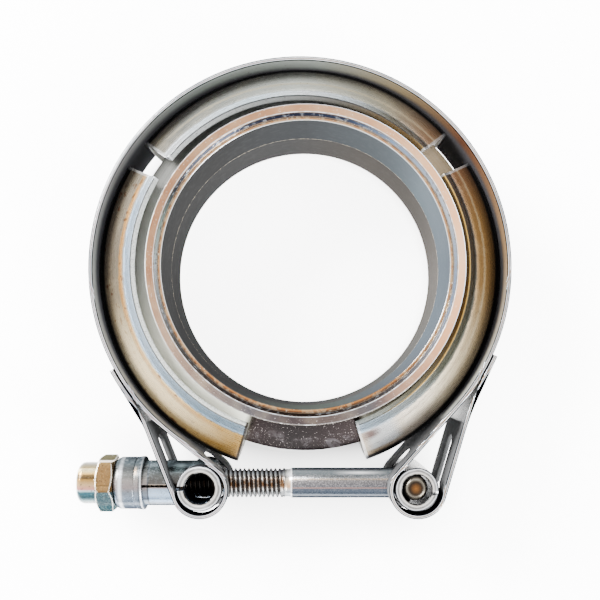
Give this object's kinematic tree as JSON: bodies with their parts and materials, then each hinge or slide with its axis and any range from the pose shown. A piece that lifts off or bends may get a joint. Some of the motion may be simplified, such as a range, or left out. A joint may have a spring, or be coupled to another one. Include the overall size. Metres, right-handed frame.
{
  "type": "v band clamp",
  "caption": "V-band clamp with its pair of pipe flanges: a slotted strap and V-shaped retainers drawn together by a T-bolt, a trunnion and a lock nut.",
  "frame": {"origin": "on the axis of the flanges' bore, in the plane where the two flanges meet", "axes": "+Z along the pipe axis, out of the upper flange; +X along the T-bolt, towards its T-head; +Y away from the bolt"},
  "size_m": [0.143, 0.1496, 0.041],
  "materials": {
    "strap_steel": "bright cold-rolled stainless steel, lightly scuffed",
    "retainer_steel": "rolled stainless steel with straw and gold weld tints",
    "flange_steel": "turned and polished stainless steel",
    "bolt_steel": "plain steel bolt, satin",
    "sleeve_steel": "cut sheet steel, satin",
    "zinc_blue": "blue-grey zinc plate",
    "zinc_yellow": "yellow passivated zinc plate"
  },
  "bodies": {
    "clamp": {"band_strap": "strap_steel", "retainer_top": "retainer_steel", "retainer_left": "retainer_steel", "retainer_right": "retainer_steel", "t_bolt": "bolt_steel", "t_head_sleeve": "sleeve_steel", "trunnion": "zinc_blue"},
    "cap": {"trunnion_cap": "zinc_blue"},
    "nut": {"lock_nut": "zinc_yellow"},
    "flange_above": {"upper_flange": "flange_steel"},
    "flange_below": {"lower_flange": "flange_steel"}
  },
  "joints": [
    {"name": "cap_slide", "type": "slide", "parent": "clamp", "child": "cap", "axis": [-1, 0, 0], "range_m": [0, 0.012]},
    {"name": "nut_turn", "type": "hinge", "parent": "cap", "child": "nut", "pos_m": [-0.0673, -0.0714, -0.0013], "axis": [-1, 0, 0], "range_deg": [0, 2880]},
    {"name": "upper_flange_turn", "type": "hinge", "parent": "clamp", "child": "flange_above", "pos_m": [0, 0, 0], "axis": [0, 0, 1], "continuous": true},
    {"name": "lower_flange_turn", "type": "hinge", "parent": "clamp", "child": "flange_below", "pos_m": [0, 0, 0], "axis": [0, 0, 1], "continuous": true}
  ],
  "couplings": [
    {"joint": "cap_slide", "follows": "nut_turn", "m_per_rad": 0.00023873}
  ]
}
